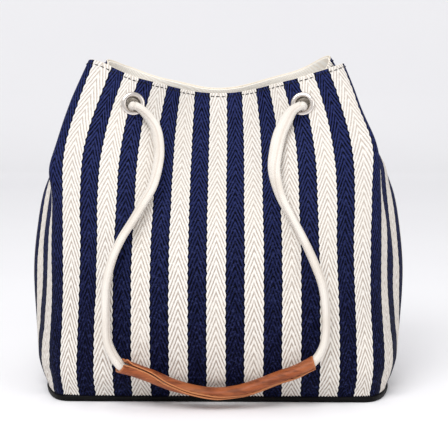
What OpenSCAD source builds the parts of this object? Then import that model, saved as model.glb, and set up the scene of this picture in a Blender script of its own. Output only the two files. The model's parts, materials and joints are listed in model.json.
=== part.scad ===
// Shoulder tote bag: striped canvas with folded side gussets, a dark base,
// four eyelets, two rope handles with leather grips, and a magnetic snap.
// Millimetres. Z is up, the front faces -Y, the origin is under the middle
// of the bag on the surface it stands on.

/* [Bag] */
// Width across the side seams where the bag is fullest
bag_width = 352; // [340:2:362]
// Depth from front to back where the bag is fullest
bag_depth = 210; // [206:1:214]
// Height of the rim at its corners
bag_height = 304; // [300:1:310]
// How far the rim leans back over the base
rim_lean = 36; // [32:1:38]

/* [Cloth] */
// Thickness of the striped canvas
canvas_t = 1.6; // [1:0.1:2]
// Thickness of the lining
lining_t = 0.8; // [0.5:0.1:1]
// Thickness of the facing inside the rim
facing_t = 1.2; // [0.8:0.1:1.6]
// Air between two layers of cloth
layer_gap = 0.4; // [0.3:0.1:0.6]

/* [Base] */
// Thickness of the dark base panel
base_t = 1.8; // [1.2:0.1:2]
// Thickness of the board that keeps the base flat
board_t = 2.4; // [1.5:0.1:3]
// Thickness of the dark band round the foot of the bag
band_t = 1.2; // [0.8:0.1:1.6]

/* [Eyelets] */
// Outside diameter of an eyelet
eyelet_d = 22; // [20:0.5:24]
// Diameter of the hole that the rope goes through
eyelet_hole = 13; // [12.5:0.1:13.5]
// Height of the eyelet's domed rim over the cloth
eyelet_rise = 1.8; // [1.2:0.1:2.2]

/* [Handles] */
// Width of the soft rope, which lies a little flattened
rope_d = 11.5; // [9:0.5:12]
// Thickness of the flattened rope
rope_t = 7.6; // [6:0.2:9]
// Thickness of the grip's leather
grip_t = 1.3; // [1:0.1:1.4]
// How far the joined edges of the grip stand out from it
grip_lip = 2.2; // [2:0.1:3]

/* [Snap] */
// Diameter of the magnetic snap
snap_d = 18; // [14:1:20]
// Thickness of the snap's socket
socket_t = 3.6; // [3:0.2:4]

/* [Hidden] */

navy = "#1c2438";
cream = "#e9e2d2";
dark = "#17171c";
tan = "#a5622f";
silver = "#c9c9c9";

// Places on the bag are given by girth and rise. Girth is 0 at the middle of
// the front, 100 at the right side seam, 200 at the middle of the back and
// negative on the left. Rise is 0 at the base and 100 at the rim.
SEAM = 100;
RIM = 100;

// Control net of the front right quarter. Each row is one rise and each
// column one girth: middle of the front, crest of the front, front corner,
// corner fold, half way round the gusset, and side seam. A point is
// [half width, half depth, height] in percent.
NET_GIRTH = [0, 36, 50, 64, 80, 100];
NET_RISE = [0, 11, 30, 45, 58, 73, 88, 100];
NET = [
    // foot, standing on the base panel
    [[0, 83, 0.7], [48, 83, 0.7], [66, 83, 0.7],
        [81, 79, 0.7], [89, 44, 0.7], [89, 0, 0.7]],
    // lower swell
    [[0, 98, 11], [48, 96, 11], [67, 90, 11],
        [83, 81, 11], [94, 43, 11], [96, 0, 11.5]],
    // fullest level
    [[0, 100, 31], [48, 94, 31], [66, 84, 31],
        [82, 66, 31], [92, 36, 31.5], [100, 0, 32]],
    // upper swell
    [[0, 94, 46], [48, 90, 46.5], [66, 76, 46.5],
        [83, 59, 47], [92, 30, 47.5], [99, 0, 47.5]],
    // top of the full part
    [[0, 78, 57], [47.5, 78, 58], [67, 68, 59],
        [84, 52, 60], [90, 22, 60.5], [95, 0, 61]],
    // shoulder, where the gusset turns in
    [[0, 50, 67], [47, 64, 70], [66, 59, 72.5],
        [84, 45, 74.5], [88, 20, 71], [83, 0, 73]],
    // folded part of the gusset
    [[0, 23, 78], [44, 49, 83], [61, 46, 85.5],
        [77, 32, 88], [75, 13, 84], [59, 0, 79]],
    // rim
    [[0, 7, 89.5], [38.5, 40, 94], [54.5, 38, 97],
        [68, 19, 100], [54, 10, 92.5], [37.5, 0, 83.5]]
];
// Percent of half width that one percent of the girth covers where the cloth
// runs straight across the middle of the front
CLOTH_RATE = 1.335;
// Heights between which the bag starts and stops leaning back
LEAN_FROM = 80;
LEAN_TO = 260;

// Smooth curve through the values v at the knots k, with slopes m
function piece(k, x, i = 0) =
    i >= len(k) - 2 || x < k[i + 1] ? i : piece(k, x, i + 1);
function curve_at(k, v, m, x) =
    let(i = piece(k, x), h = k[i + 1] - k[i], u = (x - k[i]) / h)
    (2 * u * u * u - 3 * u * u + 1) * v[i]
    + (u * u * u - 2 * u * u + u) * h * m[i]
    + (3 * u * u - 2 * u * u * u) * v[i + 1]
    + (u * u * u - u * u) * h * m[i + 1];
function inner_slope(k, v, i) = (v[i + 1] - v[i - 1]) / (k[i + 1] - k[i - 1]);
function end_slope(k, v, i) = (v[i + 1] - v[i]) / (k[i + 1] - k[i]);

// Slopes round the bag: straight across the front, square to the side seam
function girth_slopes(row) =
    let(n = len(NET_GIRTH) - 1, k = NET_GIRTH)
    [for (i = [0:n]) i == 0 ? [CLOTH_RATE, 0, 0]
        : i == n ? [0, -row[n - 1].y / (k[n] - k[n - 1]), 0]
        : inner_slope(k, row, i)];
function rise_slopes(col) =
    let(n = len(NET_RISE) - 1, k = NET_RISE)
    [for (i = [0:n]) i == 0 ? end_slope(k, col, 0)
        : i == n ? end_slope(k, col, n - 1)
        : inner_slope(k, col, i)];
SLOPES = [for (row = NET) girth_slopes(row)];

function smooth(u) = let(c = min(1, max(0, u))) c * c * (3 - 2 * c);
function lean(z) = rim_lean * smooth((z - LEAN_FROM) / (LEAN_TO - LEAN_FROM));

// Point of the canvas at a girth and a rise
function canvas_at(girth, rise) =
    let(
        g = girth > 200 ? girth - 400 : girth < -200 ? girth + 400 : girth,
        a = abs(g),
        behind = a > SEAM,
        q = behind ? 200 - a : a,
        col = [for (j = [0:len(NET) - 1])
            curve_at(NET_GIRTH, NET[j], SLOPES[j], q)],
        p = curve_at(NET_RISE, col, rise_slopes(col), rise),
        z = p.z * bag_height / 100
    )
    [sign(g) * p.x * bag_width / 200,
        (behind ? 1 : -1) * p.y * bag_depth / 200 + lean(z), z];

// Outward direction of the canvas at a girth and a rise
function normal(girth, rise) =
    let(
        d = 0.5,
        round_way = canvas_at(girth + d, rise) - canvas_at(girth - d, rise),
        up_way = canvas_at(girth, min(RIM, rise + d))
            - canvas_at(girth, max(0, rise - d)),
        n = cross(round_way, up_way)
    )
    n / norm(n);
function off(girth, rise, d) =
    canvas_at(girth, rise) + d * normal(girth, rise);

// Triangles of the four-sided cells between rows of points
function cell(a, b, c, d) = [[a, b, c], [a, c, d]];
function flatten(l) = [for (a = l) each a];

// Sheet of cloth between the girths gs and the rises rs, from d_out to d_in
module sheet(gs, rs, d_out, d_in) {
    ng = len(gs);
    nr = len(rs);
    layer = ng * nr;
    pts = [for (d = [d_out, d_in], g = gs, r = rs) off(g, r, d)];
    at = function (k, i, j) k * layer + i * nr + j;
    faces_out = [for (i = [0:ng - 2], j = [0:nr - 2])
        cell(at(0, i, j), at(0, i, j + 1), at(0, i + 1, j + 1),
            at(0, i + 1, j))];
    faces_in = [for (i = [0:ng - 2], j = [0:nr - 2])
        cell(at(1, i, j), at(1, i + 1, j), at(1, i + 1, j + 1),
            at(1, i, j + 1))];
    low_edge = [for (i = [0:ng - 2])
        cell(at(0, i, 0), at(0, i + 1, 0), at(1, i + 1, 0), at(1, i, 0))];
    top_edge = [for (i = [0:ng - 2])
        cell(at(0, i, nr - 1), at(1, i, nr - 1), at(1, i + 1, nr - 1),
            at(0, i + 1, nr - 1))];
    start_edge = [for (j = [0:nr - 2])
        cell(at(0, 0, j), at(1, 0, j), at(1, 0, j + 1), at(0, 0, j + 1))];
    last_edge = [for (j = [0:nr - 2])
        cell(at(0, ng - 1, j), at(0, ng - 1, j + 1), at(1, ng - 1, j + 1),
            at(1, ng - 1, j))];
    polyhedron(pts, flatten(concat(faces_out, faces_in, low_edge, top_edge,
        start_edge, last_edge)));
}

function middle(ring, i = 0) =
    i == len(ring) ? [0, 0, 0] : ring[i] / len(ring) + middle(ring, i + 1);

// Solid through closed rings of points. Its ends are closed by fans of
// triangles, or the last ring is joined to the first.
module loft(rings, joined = false) {
    n = len(rings[0]);
    m = len(rings);
    last = joined ? m - 1 : m - 2;
    sides = [for (k = [0:last], i = [0:n - 1])
        let(l = (k + 1) % m, j = (i + 1) % n)
        cell(k * n + i, l * n + i, l * n + j, k * n + j)];
    caps = joined ? [] : [for (i = [0:n - 1])
        let(j = (i + 1) % n, top = (m - 1) * n)
        [[m * n, i, j], [m * n + 1, top + j, top + i]]];
    centres = joined ? [] : [middle(rings[0]), middle(rings[m - 1])];
    polyhedron(concat([for (r = rings) each r], centres),
        flatten(concat(sides, caps)));
}

// Girths of one half of the bag, closer together at the corner folds
HALF_STEPS = [0, 12, 24, 36, 43, 50, 54.7, 59.3, 64, 69.3, 74.7, 80, 90, 100];
// Girth of the corner fold, where a face of the bag meets a gusset
FOLD = 64;
// Half the gap between two pieces of canvas, and of lining, that meet
MEET = 0.05;
LINING_MEET = 0.2;

function both_ways(half) =
    concat([for (i = [len(half) - 1:-1:1]) -half[i]], half);
function moved(girths, by) = [for (g = girths) g + by];

FACE_STEPS = both_ways(concat([for (g = HALF_STEPS) if (g < FOLD) g],
    [FOLD - MEET]));
GUSSET_STEPS = both_ways(concat(
    [for (i = [len(HALF_STEPS) - 1:-1:0])
        if (HALF_STEPS[i] > FOLD) SEAM - HALF_STEPS[i]],
    [SEAM - FOLD - MEET]));
FRONT_GIRTHS = both_ways(concat([for (g = HALF_STEPS) if (g < SEAM) g],
    [SEAM - LINING_MEET]));
BACK_GIRTHS = moved(FRONT_GIRTHS, 200);
ALL_GIRTHS = concat(FRONT_GIRTHS, BACK_GIRTHS);
RISES = [0, 5, 11, 20, 30, 38, 45, 52, 58, 65, 73, 80, 86, 88, 92, 96, 100];
LINING_RISES = [2, 5, 11, 20, 30, 38, 45, 52, 58, 65, 73, 80, 86];
FACING_RISES = [88, 92, 96, 100];
BAND_RISE = 1;

LINING_OUT = -canvas_t - layer_gap;
LINING_IN = LINING_OUT - lining_t;
FACING_IN = LINING_OUT - facing_t;

EYELET_GIRTH = 38;
EYELET_RISE = 92;
SNAP_RISE = 93;
STITCH_LOW = 98.7;
STITCH_TOP = 99.1;

// Height of the pivot of a rope over the canvas, and of the knot under it
PIVOT_UP = 10;
KNOT_DOWN = 15.5;
KNOT_R = 10.5;
ROPE_TAIL = 30;
BARREL_DOWN = 7;
BARREL_WALL = 0.8;
CLOTH_HOLE_R = eyelet_hole / 2 + BARREL_WALL + 0.5;

// Places children with Z along the outward direction of the canvas
module on_cloth(girth, rise) {
    p = canvas_at(girth, rise);
    n = normal(girth, rise);
    translate(p) rotate([0, acos(n.z), atan2(n.y, n.x)]) children();
}

module eyelet_holes(girths) {
    for (g = girths) on_cloth(g, EYELET_RISE)
        translate([0, 0, -12]) cylinder(r = CLOTH_HOLE_R, h = 24, $fn = 48);
}

FRONT_EYELETS = [-EYELET_GIRTH, EYELET_GIRTH];
BACK_EYELETS = [200 - EYELET_GIRTH, 200 + EYELET_GIRTH];

module outer_front() {
    color(navy) difference() {
        sheet(FACE_STEPS, RISES, 0, -canvas_t);
        eyelet_holes(FRONT_EYELETS);
    }
}

module outer_back() {
    color(navy) difference() {
        sheet(moved(FACE_STEPS, 200), RISES, 0, -canvas_t);
        eyelet_holes(BACK_EYELETS);
    }
}

// Folded side of the bag; its middle line is the side seam
module gusset(seam) {
    color(navy) sheet(moved(GUSSET_STEPS, seam), RISES, 0, -canvas_t);
}

module lining_front() {
    color(cream) sheet(FRONT_GIRTHS, LINING_RISES, LINING_OUT, LINING_IN);
}

module lining_back() {
    color(cream) sheet(BACK_GIRTHS, LINING_RISES, LINING_OUT, LINING_IN);
}

module facing_front() {
    color(cream) difference() {
        sheet(FRONT_GIRTHS, FACING_RISES, LINING_OUT, FACING_IN);
        eyelet_holes(FRONT_EYELETS);
    }
}

module facing_back() {
    color(cream) difference() {
        sheet(BACK_GIRTHS, FACING_RISES, LINING_OUT, FACING_IN);
        eyelet_holes(BACK_EYELETS);
    }
}

// Closed ring of points round the bag
function ring(rise, d) = [for (g = ALL_GIRTHS) off(g, rise, d)];
function ring_at_height(rise, d, z) =
    [for (p = ring(rise, d)) [p.x, p.y, z]];

// Tray: a floor, with a low band that wraps the foot of the canvas
module base_panel() {
    in = 0.3;
    out = in + band_t;
    color(dark) loft([
        ring_at_height(0, out, 0),
        ring(0.4, out),
        ring(BAND_RISE, out),
        ring(BAND_RISE, in),
        ring(0.4, in),
        ring_at_height(0, in, base_t)
    ]);
}

module base_board() {
    color("#8a8a86") loft([
        ring_at_height(0, -5, base_t + 0.3),
        ring_at_height(0, -5, base_t + 0.3 + board_t)
    ]);
}

module lining_base() {
    low = base_t + board_t + 0.7;
    color(cream) loft([
        ring_at_height(0, LINING_IN - 0.6, low),
        ring_at_height(0, LINING_IN - 0.6, low + lining_t)
    ]);
}

// Topstitching just under the rim, all the way round
module rim_thread() {
    color(dark) loft([ring(STITCH_LOW, 0.5), ring(STITCH_LOW, 0.9),
        ring(STITCH_TOP, 0.9), ring(STITCH_TOP, 0.5)], joined = true);
}

// Eyelet: a domed rim that rolls over into a barrel through the cloth
module eyelet(girth) {
    r_hole = eyelet_hole / 2;
    r_out = eyelet_d / 2;
    foot = 0.3;
    color(silver) on_cloth(girth, EYELET_RISE) rotate_extrude($fn = 64)
        polygon([
            [r_hole, -BARREL_DOWN], [r_hole + BARREL_WALL, -BARREL_DOWN],
            [r_hole + BARREL_WALL, foot], [r_out, foot],
            [r_out - 0.2, foot + 0.8], [r_out - 1.2, eyelet_rise],
            [r_hole + 1.6, eyelet_rise + 0.2], [r_hole + 0.5, eyelet_rise - 0.4],
            [r_hole, eyelet_rise - 1.2]
        ]);
}

// Washer that backs the eyelet inside the bag
module washer(girth) {
    gap = 0.2;
    color(silver) on_cloth(girth, EYELET_RISE) translate([0, 0, -6.4])
        difference() {
            cylinder(r = eyelet_d / 2 - 0.5, h = 0.7, $fn = 64);
            translate([0, 0, -1]) cylinder(
                r = eyelet_hole / 2 + BARREL_WALL + gap, h = 3, $fn = 64);
        }
}

// End of a rope: the ball it bends about, the stretch through the eyelet
// and the knot that holds it inside
module rope_end(girth) {
    color(cream) on_cloth(girth, EYELET_RISE) union() {
        translate([0, 0, PIVOT_UP]) sphere(d = rope_d, $fn = 48);
        translate([0, 0, -ROPE_TAIL])
            cylinder(d = rope_d, h = ROPE_TAIL + PIVOT_UP, $fn = 48);
        translate([0, 0, -KNOT_DOWN - 2]) sphere(r = KNOT_R, $fn = 48);
    }
}

module snap_patch(girth) {
    color(tan) on_cloth(girth, SNAP_RISE) translate([0, 0, FACING_IN - 1.1])
        cylinder(d = snap_d + 4, h = 0.8, $fn = 64);
}

module snap_stud() {
    color(silver) on_cloth(0, SNAP_RISE) translate([0, 0, FACING_IN - 3.0]) {
        cylinder(d = snap_d, h = 1.6, $fn = 64);
        translate([0, 0, -2.4]) cylinder(d = 5, h = 2.6, $fn = 48);
    }
}

module snap_socket() {
    color(silver) on_cloth(200, SNAP_RISE)
        translate([0, 0, FACING_IN - 1.4 - socket_t]) difference() {
            cylinder(d = snap_d, h = socket_t, $fn = 64);
            translate([0, 0, -0.2]) cylinder(d = 5.6, h = 2.8, $fn = 48);
        }
}

// Left half of the front rope's route, from beside the ball at its eyelet to
// the grip, and right half from the middle of the grip to the other ball
FRONT_LEFT = [[-71, -21, 260], [-63, -19, 251], [-57, -22, 241],
    [-54, -29, 226], [-54, -40, 212], [-58, -58, 193], [-66, -72, 178],
    [-75, -83, 163], [-84, -91, 149], [-92, -98, 131], [-97, -103, 108],
    [-97, -107, 80], [-95, -110, 58], [-84, -112, 39], [-71, -113, 35],
    [-55, -113, 29], [-38, -113, 22], [-19, -113, 17]];
FRONT_RIGHT = [[0, -113, 15], [19, -113, 17], [38, -113, 23], [56, -113, 30],
    [72, -113, 36], [86, -112, 43], [95, -110, 58], [97, -107, 80],
    [94, -103, 108], [86, -99, 130], [76, -91, 151], [67, -80, 167],
    [59, -69, 181], [54, -57, 195], [52, -44, 208], [54, -32, 223],
    [58, -23, 238], [66, -20, 254], [71, -21, 260]];
FRONT_ROUTE = concat(FRONT_LEFT, FRONT_RIGHT);
// Right half of the back rope's route; the left half mirrors it
BACK_HALF = [[72, 94, 261], [66, 93, 255], [56, 93, 241],
    [50, 97, 223], [50, 103, 205], [57, 110, 187], [68, 113, 171],
    [82, 114, 157], [97, 114, 141], [107, 113, 120], [111, 112, 96],
    [109, 112, 72], [101, 113, 53], [88, 113, 41], [72, 113, 34],
    [56, 113, 27], [38, 113, 21], [19, 113, 17], [0, 113, 15]];
BACK_ROUTE = mirrored(BACK_HALF);
// Points of a route where its grip starts and ends
GRIP_FROM = 13;
GRIP_TO = 23;

function mirrored(half) = concat(
    [for (p = half) [-p.x, p.y, p.z]],
    [for (i = [len(half) - 2:-1:0]) half[i]]);

// The rope turns from broad side out at the eyelets to edge out lower down
TURN_POINTS = 6;
TURN_LEFT = 35;
TURN_RIGHT = 65;
function turn_at(path, i) =
    let(n = len(path) - 1)
    TURN_LEFT * max(0, 1 - i / TURN_POINTS)
    - TURN_RIGHT * max(0, 1 - (n - i) / TURN_POINTS);

// Direction of a route at its point i
function along(path, i) =
    let(n = len(path) - 1,
        d = path[min(n, i + 1)] - path[max(0, i - 1)])
    d / norm(d);

// Ring of a cross section's points, [back, down] each, at point i of a path
function section_at(path, i, section, turn = 0) =
    let(t = along(path, i),
        side = cross([0, 1, 0], t),
        down = side / norm(side),
        back = cross(t, down))
    [for (q = section) path[i]
        + (q.x * cos(turn) - q.y * sin(turn)) * back
        + (q.x * sin(turn) + q.y * cos(turn)) * down];

function oval_section(wide, high, sides) =
    [for (k = [0:sides - 1])
        [wide / 2 * cos(k * 360 / sides), high / 2 * sin(k * 360 / sides)]];

// Grip outline: oval, with the joined edges standing out below
GRIP_SIDES = 16;
GRIP_EASE = 0.2;
grip_wide = rope_d + GRIP_EASE + 2 * grip_t;
grip_high = rope_t + GRIP_EASE + 2 * grip_t;
function grip_section(wide, high, lip) =
    [for (k = [0:GRIP_SIDES - 1])
        let(a = k * 360 / GRIP_SIDES, grow = abs(a - 90) < 1 ? lip : 0)
        [wide / 2 * cos(a), (high / 2 + grow) * sin(a)]];

module rope(path) {
    color(cream) loft([for (i = [0:len(path) - 1])
        section_at(path, i, oval_section(rope_d, rope_t, 12),
            turn_at(path, i))]);
}

function grip_path(path) = [for (i = [GRIP_FROM:GRIP_TO]) path[i]];

module grip(route) {
    path = grip_path(route);
    n = len(path) - 1;
    outside = grip_section(grip_wide, grip_high, grip_lip);
    inside = grip_section(rope_d + GRIP_EASE, rope_t + GRIP_EASE, 0);
    color(tan) loft(concat(
        [for (i = [0:n]) section_at(path, i, outside)],
        [for (i = [n:-1:0]) section_at(path, i, inside)]
    ), joined = true);
}

// Thread along the joined edges of a grip, on the side away from the bag
THREAD_R = 0.5;
module grip_thread(route, away) {
    path = grip_path(route);
    step = 360 / GRIP_SIDES;
    foot = [grip_wide / 2 * sin(step), grip_high / 2 * cos(step)];
    tip = [0, grip_high / 2 + grip_lip];
    slope = (tip - foot) / norm(tip - foot);
    place = (foot + tip) / 2 + (THREAD_R + 0.15) * [slope.y, -slope.x];
    section = [for (q = oval_section(2 * THREAD_R, 2 * THREAD_R, 8))
        q + [away * place.x, place.y]];
    color(cream) loft([for (i = [0:len(path) - 1])
        section_at(path, i, section)]);
}

outer_front();
outer_back();
gusset(-SEAM);  // gusset_left
gusset(SEAM);  // gusset_right
base_panel();
base_board();
lining_front();
lining_back();
lining_base();
facing_front();
facing_back();
rim_thread();
eyelet(-EYELET_GIRTH);  // eyelet_front_left
eyelet(EYELET_GIRTH);  // eyelet_front_right
eyelet(EYELET_GIRTH - 200);  // eyelet_back_left
eyelet(200 - EYELET_GIRTH);  // eyelet_back_right
washer(-EYELET_GIRTH);  // washer_front_left
washer(EYELET_GIRTH);  // washer_front_right
washer(EYELET_GIRTH - 200);  // washer_back_left
washer(200 - EYELET_GIRTH);  // washer_back_right
rope_end(-EYELET_GIRTH);  // rope_end_front_left
rope_end(EYELET_GIRTH);  // rope_end_front_right
rope_end(EYELET_GIRTH - 200);  // rope_end_back_left
rope_end(200 - EYELET_GIRTH);  // rope_end_back_right
snap_stud();
snap_socket();
snap_patch(0);  // snap_patch_front
snap_patch(200);  // snap_patch_back
rope(FRONT_ROUTE);  // rope_front
rope(BACK_ROUTE);  // rope_back
grip(FRONT_ROUTE);  // grip_front
grip(BACK_ROUTE);  // grip_back
grip_thread(FRONT_ROUTE, -1);  // grip_thread_front
grip_thread(BACK_ROUTE, 1);  // grip_thread_back
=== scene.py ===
"""Looks of a striped canvas tote bag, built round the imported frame. Metres."""
import json
import math
import random

import bpy
import numpy as np
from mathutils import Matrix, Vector

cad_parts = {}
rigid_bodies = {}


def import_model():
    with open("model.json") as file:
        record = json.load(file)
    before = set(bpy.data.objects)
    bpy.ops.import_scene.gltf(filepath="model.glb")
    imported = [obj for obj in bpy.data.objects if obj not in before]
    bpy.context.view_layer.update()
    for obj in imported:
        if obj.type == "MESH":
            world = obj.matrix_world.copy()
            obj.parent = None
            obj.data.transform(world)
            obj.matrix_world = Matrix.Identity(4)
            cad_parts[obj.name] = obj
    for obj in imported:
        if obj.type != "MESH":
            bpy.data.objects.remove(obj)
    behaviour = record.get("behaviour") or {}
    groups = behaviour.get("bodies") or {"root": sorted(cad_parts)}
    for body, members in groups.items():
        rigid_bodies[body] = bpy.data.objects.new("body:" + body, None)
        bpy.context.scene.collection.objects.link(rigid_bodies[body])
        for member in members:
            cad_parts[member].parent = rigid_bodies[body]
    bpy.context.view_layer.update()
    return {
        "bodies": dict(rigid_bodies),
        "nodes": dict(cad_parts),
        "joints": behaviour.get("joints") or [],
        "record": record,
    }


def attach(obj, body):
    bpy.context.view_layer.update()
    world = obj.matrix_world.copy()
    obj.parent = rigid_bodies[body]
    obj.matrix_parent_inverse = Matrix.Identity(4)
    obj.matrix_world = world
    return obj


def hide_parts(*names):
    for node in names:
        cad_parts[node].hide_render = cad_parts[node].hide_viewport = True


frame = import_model()

MM = 0.001
random.seed(7)


def add_object(name, data):
    """A new object of the scene."""
    ob = bpy.data.objects.new(name, data)
    bpy.context.scene.collection.objects.link(ob)
    return ob


def belongs(piece, body, slot, *nodes):
    """Rides a piece on its body and hides the nodes it stands for; its slot, what it is made of, is
    not used.
    """
    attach(piece, body)
    if nodes:
        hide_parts(*nodes)


def bell(u):
    """1 at nought, fading to nothing beyond 2 either way."""
    return math.exp(-(u**2))


# ---- camera
def add_camera():
    """Camera at the photograph's viewing angle."""
    distance = 1.3
    azimuth = math.radians(0.98)
    elevation = math.radians(7.87)
    target = Vector((0, 0, 0.1497))
    data = bpy.data.cameras.new("camera")
    data.sensor_width, data.lens, data.shift_x = 36, 109.9, 0.0134
    ob = add_object("camera", data)
    level = math.cos(elevation)
    away = (math.sin(azimuth) * level, -math.cos(azimuth) * level, math.sin(elevation))
    ob.location = target + distance * Vector(away)
    ob.rotation_euler = (math.pi / 2 - elevation, 0, azimuth)
    bpy.context.scene.camera = ob


add_camera()


# ---- materials
def srgb(*colour):
    """Linear colour of an 8-bit screen colour."""
    parts = [c / 255 for c in colour]
    return *(c / 12.92 if c <= 0.04045 else ((c + 0.055) / 1.055) ** 2.4 for c in parts), 1


def maths(operation):
    """A method that works out its result with a math node."""
    return lambda value, *other: value.shader.calc(operation, value, *other)


class Value:
    """A shader value that takes part in sums and products."""

    __add__ = maths("ADD")
    __sub__ = maths("SUBTRACT")
    __mul__ = maths("MULTIPLY")
    __truediv__ = maths("DIVIDE")
    __abs__ = maths("ABSOLUTE")

    def __init__(self, shader, socket):
        self.shader = shader
        self.socket = socket

    def __rsub__(self, other):
        return self.shader.calc("SUBTRACT", other, self)


class Shader:
    """A node material with short calls for its nodes."""

    def __init__(self, name):
        self.mat = bpy.data.materials.new(name)
        self.mat.use_nodes = True
        self.tree = self.mat.node_tree
        self.surface = self.tree.nodes["Principled BSDF"]
        # object coordinates, which are metres in the shared frame
        self.place = self.add("TexCoord").outputs["Object"]

    def add(self, kind, inputs=(), **settings):
        """A node with its settings, its inputs given by name or number."""
        node = self.tree.nodes.new("ShaderNode" + kind)
        for key, value in settings.items():
            setattr(node, key, value)
        for key, value in dict(inputs).items():
            self.feed(node.inputs[key], value)
        return node

    def feed(self, socket, value):
        if isinstance(value, Value):
            value = value.socket
        if isinstance(value, bpy.types.NodeSocket):
            self.tree.links.new(value, socket)
        else:
            socket.default_value = value

    def value(self, kind, values, **settings):
        """What a node makes of its first inputs, given in order."""
        return Value(self, self.add(kind, enumerate(values), **settings).outputs[0])

    def set(self, **values):
        for key, value in values.items():
            self.feed(self.surface.inputs[key.replace("_", " ")], value)

    def calc(self, operation, *values):
        return self.value("Math", values, operation=operation)

    def step(self, value, low, high, to_low=0.0, to_high=1.0):
        """Smooth step of a value from to_low to to_high."""
        values = (value, low, high, to_low, to_high)
        return self.value("MapRange", values, interpolation_type="SMOOTHSTEP")

    def mix(self, factor, a, b):
        return self.add("Mix", {0: factor, 6: a, 7: b}, data_type="RGBA").outputs[2]

    def stretched(self, scale):
        """The place with its axes scaled."""
        return self.value("VectorMath", (self.place, scale), operation="MULTIPLY")

    def noise(self, vector, size, detail=2.0, roughness=0.5):
        """Noise whose features are about size metres wide."""
        inputs = {"Vector": vector, "Scale": 1 / size, "Detail": detail, "Roughness": roughness}
        return Value(self, self.add("TexNoise", inputs).outputs[0])

    def cells(self, size):
        node = self.add("TexVoronoi", {"Vector": self.place, "Scale": 1 / size})
        return Value(self, node.outputs["Distance"])

    def along_map(self, name):
        """The two values of a named map, in metres."""
        split = self.add("SeparateXYZ", {0: self.add("UVMap", uv_map=name).outputs[0]})
        return Value(self, split.outputs[0]), Value(self, split.outputs[1])

    def mark(self, name):
        """A value that the mesh holds at its points."""
        return Value(self, self.add("Attribute", attribute_name=name).outputs["Fac"])

    def bump(self, height, depth, strength):
        node = self.add("Bump", {"Strength": strength, "Distance": depth, "Height": height})
        self.set(Normal=node.outputs[0])


# Canvas, in millimetres: width of one stripe, pitch and slope of the ridges,
# pitch of the stripes' scalloped edges, and top of the dark band at the base
STRIPE = 16.75
RIDGE = 7.8
RIDGE_SLOPE = 2.7
SCALLOP = 7.8
BAND_TOP = 3.6
# Cloth that the bag was cut from: a quarter of the way round, and the height
QUARTER_CUT = 7 * 2 * STRIPE * MM
HEIGHT_CUT = 0.326


def canvas_material():
    """Herringbone canvas in cream and navy stripes, worked out in millimetres."""
    m = Shader("striped_canvas")
    u, v = m.along_map("cloth")
    wander = m.noise(m.place, 0.02, 1) - 0.5
    u = u * 1000 + wander * 0.7
    level = v * 1000
    v = level + wander * 1.5
    # distance across, from the middle of the nearest cream stripe
    across = abs(m.calc("FRACT", u / (2 * STRIPE) + 0.5) - 0.5) * (2 * STRIPE)
    lobes = abs(m.calc("SINE", v * (math.pi / SCALLOP)))
    gap = across - (lobes * 0.9 + (STRIPE / 2 - 0.6))
    navy = m.step(gap, -0.12, 0.12)
    # ridges fall from the middle of each stripe to its edges
    fall = m.calc("MINIMUM", across, STRIPE - across)
    uneven = m.noise(m.place, 0.0035, 2)
    run = v + fall * RIDGE_SLOPE + uneven * 2.4
    off_ridge = abs(m.calc("FRACT", run / RIDGE) - 0.5)
    plain_edge = m.step(abs(gap), 0.35, 1.1) * m.step(uneven, 0.3, 0.55, 0.6, 1)
    groove = m.step(off_ridge, 0.16, 0.48) * plain_edge
    yarn = m.noise(m.stretched((1, 1, 0.5)), 0.0011, 2)
    flecks = m.step(m.noise(m.place, 0.0021, 3, 0.6), 0.5, 0.68)
    broad = m.noise(m.place, 0.05, 2)
    # painted light: the cloth is painted lighter towards the rim and darker towards the base, as light
    # from above falls on it
    painted_light_by_height = m.step(level, 20, 270)
    # painted shade: the grooves between the cream ridges are painted darker, less so higher up
    painted_groove_shade = m.mix(painted_light_by_height, srgb(150, 133, 120), srgb(184, 172, 162))
    cream = m.mix(groove, srgb(232, 228, 222), painted_groove_shade)
    cream = m.mix(m.step(broad, 0.3, 0.7, 0, 0.2), cream, srgb(232, 222, 208))
    cream = m.mix(m.step(yarn, 0.3, 0.6, 0.13, 0), cream, srgb(66, 56, 60))
    # painted shade: the grooves of the navy stripes are painted near black
    deep = m.step(off_ridge, 0.08, 0.34) * plain_edge
    # painted light: the navy ridges are painted lighter higher up the bag
    ridge = m.mix(painted_light_by_height, srgb(13, 16, 46), srgb(37, 45, 92))
    blue = m.mix(deep, ridge, srgb(0, 0, 8))
    blue = m.mix(flecks * 0.26, blue, srgb(70, 79, 134))
    outline = m.step(abs(gap - 0.5), 0.35, 0.75, 1, 0)
    blue = m.mix(outline * 0.85, blue, srgb(5, 5, 18))
    colour = m.mix(navy, cream, blue)
    # teeth where the cream stripes end at the base band
    line = m.calc("PINGPONG", u, 1.4) * 0.9 + BAND_TOP
    colour = m.mix(m.step(v - line, -0.15, 0.15, 1, 0), colour, srgb(12, 11, 24))
    # over the rim's fold only the cream facing shows
    inside = m.step(level, HEIGHT_CUT * 1000 + 0.1, HEIGHT_CUT * 1000 + 0.25)
    colour = m.mix(inside, colour, srgb(238, 229, 214))
    m.set(Base_Color=colour, Roughness=m.step(yarn, 0.3, 0.7, 0.55, 0.75))
    m.set(Specular_IOR_Level=0.05)
    m.bump(groove * -1 + yarn * 0.3 + outline * -0.5, 0.4 * MM, 0.8)
    return m.mat


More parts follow.
